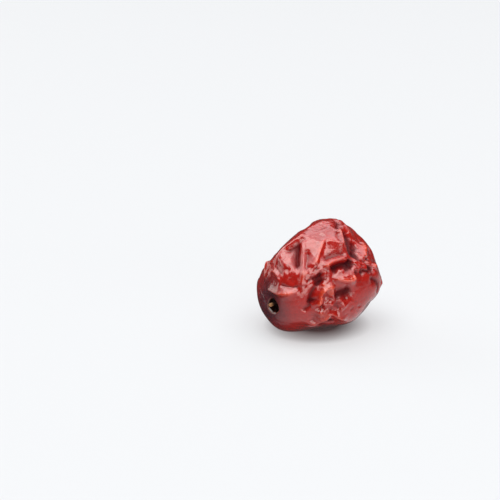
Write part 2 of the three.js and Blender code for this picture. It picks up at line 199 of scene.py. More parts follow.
# %% Folds of the front
FRONT_FOLDS = [
    # The crease over the crown and the bright strip beside it.
    {
        "height": -2.0, "width": 1.2, "lean": -0.3,
        "line": [[30.8, 14], [30.1, 24], [29.5, 33], [27.6, 42], [25.3, 51], [24.7, 58]],
    },
    {"height": -1.0, "width": 0.9, "line": [[32.3, -4], [29.3, 10], [26.7, 20]]},
    {"height": 1.1, "width": 0.9, "lean": 0.3, "line": [[27.5, 16], [27.2, 24], [25.4, 33], [23.3, 40]]},
    {"height": -0.8, "width": 0.8, "line": [[26.1, 21], [24.5, 30], [23.0, 38]]},
    {"height": 0.7, "width": 1.3, "line": [[33.2, 7], [33.5, 18], [33.1, 29]]},
    {"height": 0.25, "width": 1.2, "line": [[21.1, -3], [24.5, -3], [27.1, 2]]},
    {"height": -0.3, "width": 1.2, "line": [[19.6, 4], [22.7, 6], [25.7, 9]]},
    {"height": 0.3, "width": 1.2, "line": [[19.7, 14], [23.1, 12], [26.7, 12]]},
    # The facet and the puckers behind the crease, towards the tip.
    {"height": 1.3, "width": 1.5, "lean": 0.6, "line": [[37.7, 27], [37.8, 39], [35.3, 53], [28.6, 63]]},
    {"height": -1.5, "width": 1.1, "lean": -0.3, "line": [[33.2, 33], [30.8, 45], [28.0, 53], [25.4, 60]]},
    {"height": -0.6, "width": 1.2, "line": [[40.8, 45], [39.4, 60], [37.1, 68]]},
    {"height": 1.1, "width": 0.8, "lean": -0.3, "line": [[21.5, 64], [23.6, 69], [26.9, 68]]},
    {"height": -1.0, "width": 1.1, "line": [[21.3, 68], [24.1, 72], [25.9, 76]]},
    {"height": 0.6, "width": 0.8, "lean": -0.3, "line": [[30.4, 64], [31.7, 72], [33.2, 80]]},
    {"height": -0.9, "width": 0.9, "line": [[28.1, 62], [30.4, 64], [30.2, 76], [31.7, 82]]},
    {"height": 0.8, "width": 0.6, "line": [[29.5, 63], [28.8, 72], [30.3, 78]]},
    {"height": -1.0, "width": 0.7, "line": [[24.7, 70], [27.3, 75], [29.7, 81]]},
    {"height": 0.4, "width": 0.6, "line": [[33.6, 69], [33.0, 75], [32.7, 81]]},
    # The broad face on the upper front, its notch, and the basin beside it.
    {
        "height": 0.9, "width": 1.0, "lean": -0.3,
        "line": [[16.2, 4], [13.4, 10], [10.6, 21], [8.2, 34], [6.4, 45], [4.8, 57], [4.1, 63]],
    },
    {"height": -1.0, "width": 0.9, "line": [[13.1, 18], [11.3, 27], [9.3, 34], [8.3, 44]]},
    {
        "height": 1.0, "width": 1.0, "lean": 0.5,
        "line": [[21.0, 20], [18.1, 26], [15.2, 32], [12.3, 39], [9.2, 48]],
    },
    {"height": 0.75, "width": 1.3, "lean": -0.3, "line": [[18.8, 26], [20.7, 29], [21.7, 34], [24.3, 42]]},
    {
        "height": -1.0, "width": 1.2, "lean": -0.3,
        "line": [[13.8, 44], [15.9, 42], [18.0, 44], [20.0, 46], [22.6, 50]],
    },
    # The shelf at mid height: the lip over it, the undercut, its own edge and its foot.
    {
        "height": 1.4, "width": 0.9, "lean": -0.2,
        "line": [[11.7, 48], [13.7, 50], [15.9, 50], [18.0, 51], [20.2, 53], [22.5, 57]],
    },
    {
        "height": -2.0, "width": 1.5, "lean": 0.6,
        "line": [[13.8, 53], [15.9, 54], [17.7, 54], [20.0, 56], [22.2, 58], [23.7, 63]],
    },
    {"height": 1.7, "width": 1.5, "lean": -0.5, "line": [[13.5, 64], [15.5, 70], [18.4, 75], [22.2, 75]]},
    {"height": -1.4, "width": 1.6, "line": [[12.1, 86], [14.5, 86], [17.3, 86], [19.7, 84]]},
    # The slanting ridge under the shelf and the small folds gathered round it.
    {
        "height": -1.0, "width": 1.0, "lean": -0.3,
        "line": [[12.5, 62], [9.6, 63], [7.0, 69], [5.6, 80], [5.6, 93]],
    },
    {
        "height": 2.0, "width": 1.5, "lean": -0.4,
        "line": [[13.9, 70], [11.2, 72], [9.1, 76], [7.8, 86], [7.4, 96]],
    },
    {"height": -1.2, "width": 0.9, "line": [[11.2, 78], [9.6, 84], [8.8, 93], [8.2, 101]]},
    {"height": -0.6, "width": 0.7, "line": [[7.9, 56], [9.7, 54], [11.8, 53]]},
    {"height": -0.6, "width": 0.7, "line": [[7.8, 63], [9.6, 60], [11.4, 58]]},
    {"height": 0.6, "width": 0.7, "line": [[9.0, 53], [10.9, 51], [12.6, 50]]},
    {"height": -0.5, "width": 0.7, "line": [[6.4, 54], [7.5, 54], [8.8, 51]]},
    # The low front.
    {"height": -0.9, "width": 1.0, "line": [[12.1, 84], [10.7, 88], [9.1, 92]]},
    {"height": 0.8, "width": 0.9, "line": [[9.0, 94], [10.3, 92], [12.5, 96]]},
    {"height": -1.0, "width": 1.1, "line": [[10.3, 99], [12.1, 102], [14.6, 106]]},
    {"height": 0.7, "width": 1.0, "line": [[13.7, 87], [14.9, 94], [16.2, 105]]},
    {
        "height": 1.2, "width": 1.0, "lean": -0.3,
        "line": [[5.8, 138], [7.1, 123], [8.4, 117], [9.9, 111], [11.3, 106], [14.2, 114], [18.0, 120]],
    },
    {"height": -1.3, "width": 1.1, "line": [[8.8, 144], [9.6, 128], [11.2, 122], [13.9, 123]]},
    {"height": 0.8, "width": 0.8, "line": [[7.9, 98], [8.2, 105], [7.7, 114]]},
    {"height": -0.7, "width": 1.0, "line": [[6.1, 120], [6.8, 110], [7.1, 102]]},
    {"height": -0.7, "width": 0.8, "line": [[3.7, 98], [4.7, 92], [6.0, 88]]},
    # The shoulder over the stem end, its crest and the small facet above it.
    {"height": -1.3, "width": 1.0, "line": [[14.1, 3], [11.4, 10], [9.0, 18], [7.2, 27], [5.8, 27]]},
    {"height": -0.5, "width": 1.0, "line": [[5.7, -12], [4.7, 4], [4.9, 18], [5.8, 27]]},
    {"height": 1.1, "width": 1.1, "lean": -0.3, "line": [[7.4, -38], [4.9, -42], [3.3, -48], [2.0, -56]]},
    {"height": 0.6, "width": 0.6, "line": [[3.2, -32], [2.7, -7], [2.2, 10], [1.8, 26]]},
    {"height": -0.4, "width": 0.7, "line": [[4.1, -14], [3.5, 4], [3.5, 21]]},
    {
        "height": 1.5, "width": 0.9, "lean": -0.3,
        "line": [[1.4, -60], [0.4, -3], [1.3, 53], [2.7, 60], [4.3, 63]],
    },
    {"height": -0.8, "width": 0.7, "line": [[1.5, 21], [2.4, 44], [3.6, 53], [5.0, 54]]},
    {"height": 0.8, "width": 0.8, "line": [[9.3, -6], [11.4, -3], [14.5, 0], [18.0, 0]]},
    {"height": -0.8, "width": 0.9, "line": [[8.5, -2], [10.9, 2], [13.5, 4], [17.0, 4]]},
]
print(len(FRONT_FOLDS), "long folds on the front")

# %% [markdown]
# ## The back and the far end
# On the far side the folds run mostly along the fruit, as they do where the flesh shrinks evenly round
# the stone. Short folds from a fixed seed fill what the long ones leave bare, and pleats run into the
# tip.

# %% Folds of the back
BACK_FOLDS = [
    {
        "height": -1.9, "width": 1.4, "lean": 0.3,
        "line": [[14, -52], [16, -50], [19, -50], [24, -47], [30, -52]],
    },
    {
        "height": 1.4, "width": 1.5, "lean": -0.3,
        "line": [[17, -69], [20, -66], [23, -62], [27, -61], [32, -67]],
    },
    {
        "height": -1.6, "width": 1.3,
        "line": [[5, -78], [10, -76], [15, -82], [21, -80], [27, -86], [31, -84]],
    },
    {
        "height": 1.3, "width": 1.3, "lean": 0.3,
        "line": [[9, -92], [14, -96], [20, -95], [27, -101], [34, -99]],
    },
    {"height": -1.7, "width": 1.4, "lean": -0.2, "line": [[11, -110], [17, -112], [24, -117], [31, -113]]},
    {"height": 1.1, "width": 1.2, "line": [[6, -112], [11, -122], [17, -127], [24, -130], [30, -127]]},
    {"height": -1.2, "width": 1.2, "line": [[6, -128], [12, -137], [19, -141], [26, -140]]},
    {"height": -1.3, "width": 1.2, "line": [[19, -18], [24, -27], [29, -31], [34, -29], [38, -38]]},
    {"height": 0.6, "width": 1.2, "line": [[24, -20], [29, -23], [34, -20], [38, -14]]},
    {"height": -1.1, "width": 1.1, "line": [[18, -51], [20, -58], [23, -68], [27, -77]]},
    {"height": 1.0, "width": 1.1, "line": [[13, -84], [17, -75], [22, -71], [28, -75]]},
    {"height": -1.0, "width": 1.2, "line": [[27, -87], [30, -95], [31, -105], [35, -113]]},
    {"height": 0.9, "width": 1.1, "line": [[30, -52], [33, -70], [35, -88], [38, -96]]},
    {"height": -1.0, "width": 1.1, "line": [[27, 84], [30, 92], [32, 103], [31, 116]]},
    {"height": 0.7, "width": 1.2, "line": [[34, 106], [36, 113], [35.5, 122], [34, 132]]},
    {"height": -0.9, "width": 1.2, "line": [[24, 116], [29, 124], [34, 128], [38, 122]]},
]
print(len(BACK_FOLDS), "long folds on the back")

# %% Scattered short folds
SCATTERED_FOLDS = 34
SCATTER_SEED = 4
SCATTER_STATIONS = [10, 38]
SCATTER_DEGREES = [-158, -40]  # over the whole back
SCATTER_LENGTH = [5, 11]
SCATTER_HEIGHT = [0.35, 0.8]
SCATTER_WIDTH = [0.7, 1.1]
SCATTER_SLANT_DEG = 38  # most that a short fold turns from the fruit's axis
SCATTER_BEND_DEG = 6.5  # most that its middle stands aside
SCATTER_LEAN = 0.4
RANDOM_FACTOR = 48271  # with the modulus, gives whole numbers that come out alike on any machine
RANDOM_MODULUS = 2147483647


def make_random(seed):
    state = seed

    def draw(low, high):
        nonlocal state
        state = (state * RANDOM_FACTOR) % RANDOM_MODULUS
        return low + (high - low) * state / RANDOM_MODULUS

    return draw


def scatter_folds():
    random = make_random(SCATTER_SEED)
    folds = []
    for i in range(SCATTERED_FOLDS):
        station = random(*SCATTER_STATIONS)
        degrees = random(*SCATTER_DEGREES)
        reach = random(*SCATTER_LENGTH) / 2
        slant = math.radians(random(-SCATTER_SLANT_DEG, SCATTER_SLANT_DEG))
        bend = random(-SCATTER_BEND_DEG, SCATTER_BEND_DEG)
        size = random(*SCATTER_HEIGHT)
        width = random(*SCATTER_WIDTH)
        lean = random(-SCATTER_LEAN, SCATTER_LEAN)
        station_step = reach * math.cos(slant)
        degree_step = math.degrees(reach * math.sin(slant) / half_width)
        before = max(1, station - station_step)
        after = min(FRUIT_LENGTH - 1, station + station_step)
        line = [
            [before, degrees - degree_step],
            [station, degrees + bend],
            [after, degrees + degree_step],
        ]
        folds.append({"height": size if i % 2 == 0 else -size, "width": width, "lean": lean, "line": line})
    return folds


# %% Pleats at the tip
TIP_PLEATS = 9
TIP_PLEAT = {"height": -0.45, "width": 0.8, "stations": [41.2, 39.6, 37, 34.5], "twist": 5}


def tip_pleats():
    pleats = []
    for i in range(TIP_PLEATS):
        degrees = 360 * i / TIP_PLEATS
        sway = [-TIP_PLEAT["twist"], TIP_PLEAT["twist"]]
        line = [[station, degrees + sway[k % 2]] for k, station in enumerate(TIP_PLEAT["stations"])]
        pleats.append({"height": TIP_PLEAT["height"], "width": TIP_PLEAT["width"], "line": line})
    return pleats


# %% [markdown]
# ## Fine wrinkles
# Between the long folds the skin is crinkled like crumpled paper, most of all where it was squeezed. Each
# patch below lays short, shallow valleys and ridges with one main direction. The stem end and the full
# cheeks stay smooth, as they do on a real fruit.

# %% Patches of fine wrinkles
# Each patch is: stations, degrees, direction of the wrinkles from the fruit's axis, how many, and how strong.
WRINKLE_PATCHES = [
    # The crown and the strip beside the crease.
    [[16, 30], [-30, 8], 10, 20, 0.9],
    [[28, 37], [-10, 30], 40, 22, 1.0],
    # Right of the crease and the band of puckers.
    [[27, 37], [24, 60], 60, 26, 1.0],
    [[24, 35], [60, 80], 30, 34, 2.4],
    # The broad face.
    [[8, 18], [8, 24], 70, 6, 0.6],
    # The shelf's top and front.
    [[15, 23], [56, 72], 15, 24, 1.4],
    # The gathers round the slanting ridge.
    [[6, 13], [40, 84], -30, 44, 1.8],
    # The low front and the bottom ridge.
    [[7, 22], [88, 125], 10, 30, 1.4],
    # The shoulder over the stem end.
    [[1.5, 7], [-50, 10], 50, 20, 0.8],
    # The back.
    [[7, 36], [-150, -30], 0, 130, 1.2],
    # The far end.
    [[33, 40], [-180, 180], 0, 50, 1.0],
]
WRINKLE_SEED = 11
WRINKLE_LENGTH = [1.6, 4.5]
WRINKLE_HEIGHT = [0.05, 0.2]
WRINKLE_WIDTH = [0.28, 0.5]
WRINKLE_TURN_DEG = 38  # most that a wrinkle turns from its patch's direction
WRINKLE_BEND_DEG = 3
RIDGE_SHARE = 0.4
CLEAR_OF_STEM_END = 1  # no wrinkle starts nearer than this to the stem end
CLEAR_OF_TIP = 0.6
SHORTEST_STEP = 0.2  # a wrinkle that turns out shorter than this is left out
SMALLEST_CLIMB_DEG = 1


def wrinkles():
    random = make_random(WRINKLE_SEED)
    lines = []
    for stations, degrees, direction, count, strength in WRINKLE_PATCHES:
        for _ in range(count):
            station = random(*stations)
            degree = random(*degrees)
            reach = random(*WRINKLE_LENGTH) / 2
            turn = math.radians(direction + random(-WRINKLE_TURN_DEG, WRINKLE_TURN_DEG))
            bend = random(-WRINKLE_BEND_DEG, WRINKLE_BEND_DEG)
            size = random(*WRINKLE_HEIGHT)
            width = random(*WRINKLE_WIDTH)
            sign = 1 if random(0, 1) < RIDGE_SHARE else -1
            step = reach * math.cos(turn)
            climb = math.degrees(reach * math.sin(turn) / half_width)
            before = max(CLEAR_OF_STEM_END, station - step)
            after = min(FRUIT_LENGTH - CLEAR_OF_TIP, station + step)
            if abs(after - before) < SHORTEST_STEP and abs(climb) < SMALLEST_CLIMB_DEG:
                continue
            line = [[before, degree - climb], [station, degree + bend], [after, degree + climb]]
            lines.append({"height": sign * size * strength, "width": width, "line": line})
    return lines


# %% Height map of all folds
height_map = np.zeros(len(places))
for fold in FRONT_FOLDS + BACK_FOLDS + scatter_folds() + tip_pleats():
    add_fold(height_map, fold, FINE_CREST)
fine_map = np.zeros(len(places))
for fold in wrinkles():
    add_fold(fine_map, fold, FINE_CREST)
print("long folds", round(height_map.min(), 2), "to", round(height_map.max(), 2), "mm")
print("fine wrinkles", round(fine_map.min(), 2), "to", round(fine_map.max(), 2), "mm")

# %% [markdown]
# ## Flat sides, swellings, cavity and rest
# A drying fruit sags into a few flat sides and stays full between them. At the stem end the skin runs
# down into a narrow cavity, the tip has a shallow dimple, and the underside is pressed flat by its own
# weight.

# %% Flat sides and swellings
FLATS = [
    {"at": [17, -35], "depth": 1.4, "edge": 1.6},
    {"at": [8, 18], "depth": 1.5, "edge": 0.9},
    {"at": [2, -47], "depth": 3.0, "edge": 1.6},
    {"at": [35, 45], "depth": 3.4, "edge": 1.6},
    {"at": [11, 151], "depth": 1.9, "edge": 1.4},
    {"at": [6, 154], "depth": 1.4, "edge": 1.4},
    {"at": [38, 86], "depth": 1.1, "edge": 1.4},
    {"at": [26, -72], "depth": 1.5, "edge": 1.8},
    {"at": [37, -110], "depth": 1.6, "edge": 1.8},
    {"at": [14, -122], "depth": 1.3, "edge": 1.6},
    {"at": [12.8, 28], "depth": 0.9, "edge": 0.8},
    {"at": [11.5, -46], "depth": 2.6, "edge": 1.4},
    {"at": [3, -4], "depth": 1.2, "edge": 0.6},
]
SWELLS = [
    {"at": [32, 108], "height": 1.2, "reach": 8},
    {"at": [29, 1], "height": 0.8, "reach": 8},
    {"at": [4, 171], "height": 0.9, "reach": 6},
    {"at": [20, 123], "height": 1.4, "reach": 6},
    {"at": [25, 175], "height": 0.7, "reach": 7},
    {"at": [5.6, 18], "height": 0.9, "reach": 3.6},
    {"at": [22.2, 36], "height": 0.6, "reach": 2.8},
    {"at": [18.9, 67], "height": 1.1, "reach": 3.2},
    {"at": [3.9, 41], "height": -0.7, "reach": 2.2},
]


def soft_floor(height, edge):
    rounded = (height + edge) ** 2 / (4 * edge)
    return np.where(height > edge, height, np.where(height < -edge, 0, rounded))


skin = places.copy()
for flat in FLATS:
    place, normal = (value[0] for value in on_body([flat["at"]]))
    over = (skin - place) @ normal + flat["depth"]
    skin += (-over - soft_floor(-over, flat["edge"]))[:, None] * normal
for swell in SWELLS:
    far = np.linalg.norm(places - on_body([swell["at"]])[0], axis=1)
    skin += (swell["height"] * np.exp(-((far / swell["reach"]) ** 2)))[:, None] * normals

# %% Cavity, tip and resting spot
CAVITY_RADIUS = 2.15
CAVITY_STRETCH = 1.25  # the hole is this much wider than it is high
CAVITY_DEPTH = 2.9
CAVITY_WALL = 0.5  # half the width of the hole's rounded rim
CAVITY_FORWARD = -0.2  # of the hole from the fruit's axis, towards the front
CAVITY_UP = -1.15  # of the hole from the fruit's axis, towards the top
DISH_RADIUS = 5.2
DISH_DEPTH = 0.8
TIP_DIMPLE_RADIUS = 2.6
TIP_DIMPLE_DEPTH = 0.9
SMOOTH_ROUND_CAVITY = 2.2  # folds grow to their full height over this distance from the hole
PRESSED_EDGE = 0.5  # height over which the pressed flat turns up into the round side
forward = (out * np.sin(around) - CAVITY_FORWARD) / CAVITY_STRETCH
from_cavity = np.hypot(forward, out * np.cos(around) - CAVITY_UP)
rim = CAVITY_RADIUS + CAVITY_WALL
folded = smoothstep(from_cavity, rim, rim + SMOOTH_ROUND_CAVITY)
at_stem = along < 0
skin += (height_map + fine_map)[:, None] * np.where(at_stem, folded, 1)[:, None] * normals
dish = DISH_DEPTH * np.exp(-((from_cavity / DISH_RADIUS) ** 2))
wall = smoothstep(from_cavity, CAVITY_RADIUS - CAVITY_WALL, rim)
hole = dish + CAVITY_DEPTH * (1 - wall)
tip = TIP_DIMPLE_DEPTH * np.exp(-((out / TIP_DIMPLE_RADIUS) ** 2))
skin += np.where(at_stem, hole, -tip)[:, None] * to_tip
skin += middle
skin[:, 2] = soft_floor(skin[:, 2], PRESSED_EDGE)
print("skin box", np.round(skin.min(0), 1), np.round(skin.max(0), 1), "mm")

# %% Mesh of the skin
def ring_faces(rings, steps):
    """Faces over a first point, a number of rings with these steps each, and a last point."""
    step = np.arange(steps)
    after = (step + 1) % steps
    faces = [(0, 1 + b, 1 + a) for a, b in zip(step, after)]
    for ring in range(rings - 1):
        near = 1 + ring * steps
        far = near + steps
        faces += [(near + a, near + b, far + b, far + a) for a, b in zip(step, after)]
    last = 1 + (rings - 1) * steps
    faces += [(last + a, last + b, last + steps) for a, b in zip(step, after)]
    return faces


def make_piece(name, points, faces):
    mesh = bpy.data.meshes.new(name)
    mesh.from_pydata([tuple(point) for point in points * MM], [], [tuple(map(int, face)) for face in faces])
    mesh.validate()
    mesh.shade_smooth()
    piece = bpy.data.objects.new(name, mesh)
    bpy.context.scene.collection.objects.link(piece)
    return piece


fruit = make_piece("jujube_skin", skin, ring_faces(RINGS - 1, STEPS))
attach(fruit, "root")
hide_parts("fruit")
print("skin has", len(fruit.data.polygons), "faces")

# %% [markdown]
# ## Where the skin is high and low
# The material needs to know where it is: crests are painted paler and more orange as light through the thin
# skin, valleys are painted dark as shade, and the cavity has a pale corky rim. These facts are kept on the
# mesh as plain values per point.

# %% Values per point
def store(piece, name, values):
    layer = piece.data.attributes.new(name, "FLOAT", "POINT")
    layer.data.foreach_set("value", np.asarray(values, np.float32))


store(fruit, "fold", (height_map + fine_map * 2) * np.where(at_stem, folded, 1))
store(fruit, "from cavity", from_cavity + np.where(at_stem, 0, FRUIT_LENGTH))
# The dull bloom round the cavity carries painted shade too, and reaches farther over the back of the stem end
# than over its front.
BLOOM_AND_SHADE_TO_BACK = 3.0
from_bloom_and_shade = np.hypot(out * np.sin(around) + BLOOM_AND_SHADE_TO_BACK, out * np.cos(around) - CAVITY_UP)
store(fruit, "from bloom and shade", from_bloom_and_shade + np.where(at_stem, 0, FRUIT_LENGTH))

# %% [markdown]
# ## The stub of the stalk
# The stalk snapped off when the fruit was picked, and left a short woody stub in the cavity. It is a few
# fibres thick, with a torn end, so its sides are fluted and its end is uneven.

# %% Stub mesh
STUB_RADIUS = 0.6
STUB_FOOT = 3.8  # its lower end, along the axis from the fruit's stem end
STUB_END = 1.0  # its broken end, along the same axis
STUB_FORWARD = -1.0  # of the stub from the hole's middle, towards the front
STUB_UP = -0.4  # of the stub from the hole's middle, towards the top
STUB_PROFILE = [
    # [share of the radius, share of the length from the foot]
    [0, 0],
    [1, 0],
    [0.9, 0.5],
    [0.95, 0.85],
    [0.6, 1],
    [0, 0.97],
]
STUB_TURNS = 40
STUB_LEVELS = 26
FLUTES = 9
FLUTE_DEPTH = 0.07  # share of the radius
FLUTE_TWIST = 0.8  # radians
TORN_DEPTH = 0.22  # most that the torn end falls short round its edge
TORN_TEETH = 5
TORN_SHIFT = 1.3  # radians
END_LEVELS = 6
END_BUMPS = 7
END_BUMP_HEIGHT = 0.05
END_SINK = 0.03  # of each level of the end, towards its middle


def stub_points():
    length = STUB_FOOT - STUB_END
    sides = np.array(STUB_PROFILE[1:-1])  # without the middles of the two ends
    heights = np.linspace(0, length, STUB_LEVELS)
    radii = np.interp(heights, sides[:, 1] * length, sides[:, 0] * STUB_RADIUS)
    turn = np.linspace(0, 2 * math.pi, STUB_TURNS, endpoint=False)
    rings = []
    for height, radius in zip(heights, radii):
        share = height / length
        flutes = 0.5 + 0.5 * np.cos(FLUTES * turn + FLUTE_TWIST * math.sin(3 * share))
        fluted = radius * (1 - FLUTE_DEPTH * flutes)
        teeth = 0.5 + 0.5 * np.sin(TORN_TEETH * turn + TORN_SHIFT) * np.cos(2 * turn)
        torn = TORN_DEPTH * share**6 * teeth
        rings.append(np.stack([fluted * np.cos(turn), fluted * np.sin(turn), height - torn], axis=1))
    top = rings[-1]
    for level in range(1, END_LEVELS):
        share = 1 - level / END_LEVELS
        inner = top * [share, share, 1]
        inner[:, 2] += END_BUMP_HEIGHT * np.sin(END_BUMPS * turn + 4 * level) - END_SINK * level
        rings.append(inner)
    foot = np.array([[0.0, 0.0, 0.0]])
    tip_point = np.array([[0.0, 0.0, rings[-1][:, 2].mean()]])
    return np.vstack([foot, *rings, tip_point]), len(rings)


points, rings = stub_points()
outward = -to_tip
sideways = np.cross(to_front, outward)
turned = points[:, :1] * to_front + points[:, 1:2] * sideways + points[:, 2:] * outward
foot = middle + (STUB_FOOT - half_length) * to_tip
foot = foot + (CAVITY_FORWARD + STUB_FORWARD) * to_front + (CAVITY_UP + STUB_UP) * to_top
stub = make_piece("stalk_stub", turned + foot, ring_faces(rings, STUB_TURNS))
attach(stub, "root")
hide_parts("stem_stub")
store(stub, "from foot", points[:, 2])
print("stub is", round(STUB_FOOT - STUB_END, 1), "mm long and", 2 * STUB_RADIUS, "mm thick")

# %% [markdown]
# ## Helpers for shader node groups
# A finish that more than one material needs is kept in a group with named sockets, built once. A group
# only gives colours, masks and heights, and each material sets up its own surface from them.

# %% Node helpers
def new_group(name, inputs, outputs):
    group = bpy.data.node_groups.new(name, "ShaderNodeTree")
    for socket, kind, value in inputs:
        item = group.interface.new_socket(name=socket, in_out="INPUT", socket_type=kind)
        item.default_value = value
    for socket, kind in outputs:
        group.interface.new_socket(name=socket, in_out="OUTPUT", socket_type=kind)
    return group, group.nodes.new("NodeGroupInput"), group.nodes.new("NodeGroupOutput")


def add(tree, kind, settings=None, **inputs):
    node = tree.nodes.new("ShaderNode" + kind)
    for key, value in (settings or {}).items():
        setattr(node, key, value)
    for key, value in inputs.items():
        name = key.replace("_", " ")
        socket = node.inputs[int(key[1:])] if key[0] == "i" and key[1:].isdigit() else node.inputs[name]
        if isinstance(value, bpy.types.NodeSocket):
            tree.links.new(value, socket)
        else:
            socket.default_value = value
    return node


def ramp(tree, factor, stops):
    node = tree.nodes.new("ShaderNodeValToRGB")
    tree.links.new(factor, node.inputs[0])
    node.color_ramp.elements[0].position, node.color_ramp.elements[0].color = stops[0]
    node.color_ramp.elements[1].position, node.color_ramp.elements[1].color = stops[-1]
    for position, colour in stops[1:-1]:
        node.color_ramp.elements.new(position).color = colour
    return node.outputs[0]


def span(tree, value, low, high, new_low=0.0, new_high=1.0):
    node = add(tree, "MapRange", i0=value, i1=low, i2=high, i3=new_low, i4=new_high)
    return node.outputs[0]


def mix(tree, factor, a, b, blend="MIX"):
    node = add(tree, "Mix", {"data_type": "RGBA", "blend_type": blend}, i0=factor, i6=a, i7=b)
    return node.outputs[2]


def math_node(tree, operation, a, b=0.0):
    return add(tree, "Math", {"operation": operation}, i0=a, i1=b).outputs[0]


def vector_node(tree, operation, a, b=(0.0, 0.0, 0.0), output="Vector"):
    return add(tree, "VectorMath", {"operation": operation}, i0=a, i1=b).outputs[output]


# %% [markdown]
# ## Mottle
# Dried fruit and dead wood both vary slowly in tone, with small darker freckles in between. Skin and
# stalk share this group.

# %% Mottle group
mottle, into, outof = new_group(
    "Mottle",
    [("Scale", "NodeSocketFloat", 100.0), ("Stretch", "NodeSocketVector", (1.0, 1.0, 1.0))],
    [("Tone", "NodeSocketFloat"), ("Freckles", "NodeSocketFloat")],
)
where = add(mottle, "TexCoord").outputs["Object"]
stretched = vector_node(mottle, "MULTIPLY", where, into.outputs["Stretch"])
tone = add(mottle, "TexNoise", Vector=stretched, Scale=into.outputs["Scale"], Detail=3.0, Roughness=0.55)
fine = math_node(mottle, "MULTIPLY", into.outputs["Scale"], 5.0)
freckles = add(mottle, "TexNoise", Vector=stretched, Scale=fine, Detail=2.0, Roughness=0.5)
mottle.links.new(span(mottle, tone.outputs[0], 0.3, 0.7), outof.inputs["Tone"])
mottle.links.new(span(mottle, freckles.outputs[0], 0.52, 0.72), outof.inputs["Freckles"])
print(mottle.name, "gives", [socket.name for socket in outof.inputs if socket.name])

# %% [markdown]
# ## Crinkle
# A relief finer than the mesh: pores and tiny creases that break up the highlights. The same group,
# stretched along the stalk, makes its fibres.

# %% Crinkle group
crinkle, into, outof = new_group(
    "Crinkle",
    [("Scale", "NodeSocketFloat", 400.0), ("Stretch", "NodeSocketVector", (1.0, 1.0, 1.0))],
    [("Height", "NodeSocketFloat")],
)
where = add(crinkle, "TexCoord").outputs["Object"]
stretched = vector_node(crinkle, "MULTIPLY", where, into.outputs["Stretch"])
bends = add(crinkle, "TexNoise", Vector=stretched, Scale=into.outputs["Scale"], Detail=2.0)
shifted = vector_node(crinkle, "MULTIPLY", bends.outputs["Color"], (0.002, 0.002, 0.002))
bent = vector_node(crinkle, "ADD", stretched, shifted)
cells = add(crinkle, "TexVoronoi", {"feature": "DISTANCE_TO_EDGE"}, Vector=bent, Scale=into.outputs["Scale"])
valleys = span(crinkle, cells.outputs["Distance"], 0.0, 0.22)
fine = math_node(crinkle, "MULTIPLY", into.outputs["Scale"], 3.0)
pores = add(crinkle, "TexNoise", Vector=bent, Scale=fine, Detail=3.0).outputs[0]
folds_part = math_node(crinkle, "MULTIPLY", valleys, 0.6)
pores_part = math_node(crinkle, "MULTIPLY", pores, 0.4)
relief = math_node(crinkle, "ADD", folds_part, pores_part)
crinkle.links.new(relief, outof.inputs["Height"])
print(crinkle.name, "gives", [socket.name for socket in outof.inputs if socket.name])

# %% [markdown]
# ## Skin
# The skin is a deep red. Its crests are painted more orange, as light through the thin skin, and its deepest
# valleys are painted nearly black as shade; there dust also takes the shine away. Elsewhere a thin wax gives
# a second, softer highlight. Round the cavity lies a dull mauve bloom with painted shade over it, the rim is
# corky, and the hole itself is painted dark as shade. Two sizes of crinkle break up the highlights.

# %% Skin material
VALLEY_SHADE = (0.045, 0.002, 0.004, 1)
DEEP = (0.13, 0.003, 0.004, 1)
RED = (0.385, 0.011, 0.007, 1)
CREST = (0.56, 0.048, 0.015, 1)
DULL_BLOOM_AND_SHADE = (0.065, 0.014, 0.021, 1)
CORK = (0.45, 0.20, 0.11, 1)
HOLE_SHADE = (0.020, 0.006, 0.005, 1)
# Painted shade and light: valleys are coloured near black as shade, crests paler and more orange as light
# through the thin skin.
FOLD_SHADE_AND_LIGHT = [(0.0, VALLEY_SHADE), (0.22, DEEP), (0.42, RED), (0.60, RED), (0.85, CREST)]
VALLEY = -1.6  # fold value of the darkest tone
RIDGE = 1.8  # fold value of the palest tone
BLOOM_AND_SHADE_FULL = 4.5  # the bloom and its painted shade are full to this distance from its middle, and gone at the next
BLOOM_AND_SHADE_END = 11.0
RIM_SHARE = 0.28  # how far the rim takes on the colour of cork

skin_material = bpy.data.materials.new("jujube_skin")
skin_material.use_nodes = True
tree = skin_material.node_tree
surface = tree.nodes["Principled BSDF"]
marks = add(tree, "Group", {"node_tree": mottle}, Scale=160.0)
fold_value = add(tree, "Attribute", {"attribute_name": "fold"}).outputs["Fac"]
cavity_value = add(tree, "Attribute", {"attribute_name": "from cavity"}).outputs["Fac"]
# Painted shade in the valleys and painted light on the crests, by fold height.
shade_and_light_by_fold = ramp(tree, span(tree, fold_value, VALLEY, RIDGE), FOLD_SHADE_AND_LIGHT)
toned = mix(tree, math_node(tree, "MULTIPLY", marks.outputs["Tone"], 0.35), shade_and_light_by_fold, DEEP)
freckled = mix(tree, math_node(tree, "MULTIPLY", marks.outputs["Freckles"], 0.25), toned, DEEP)
bloom_and_shade_value = add(tree, "Attribute", {"attribute_name": "from bloom and shade"}).outputs["Fac"]
# Painted shade: the bloom's dark mauve also darkens the stem end and the dish round the cavity as shade, most
# over its back.
bloom_and_shade_mask = span(tree, bloom_and_shade_value, BLOOM_AND_SHADE_FULL, BLOOM_AND_SHADE_END, 0.95, 0.0)
dulled_and_shaded = mix(tree, bloom_and_shade_mask, freckled, DULL_BLOOM_AND_SHADE)
rim_inside = span(tree, cavity_value, CAVITY_RADIUS + 0.2, CAVITY_RADIUS + 0.35)
rim_outside = span(tree, cavity_value, rim + 0.15, rim - 0.1, 0.0, RIM_SHARE)
rimmed = mix(tree, math_node(tree, "MULTIPLY", rim_inside, rim_outside), dulled_and_shaded, CORK)
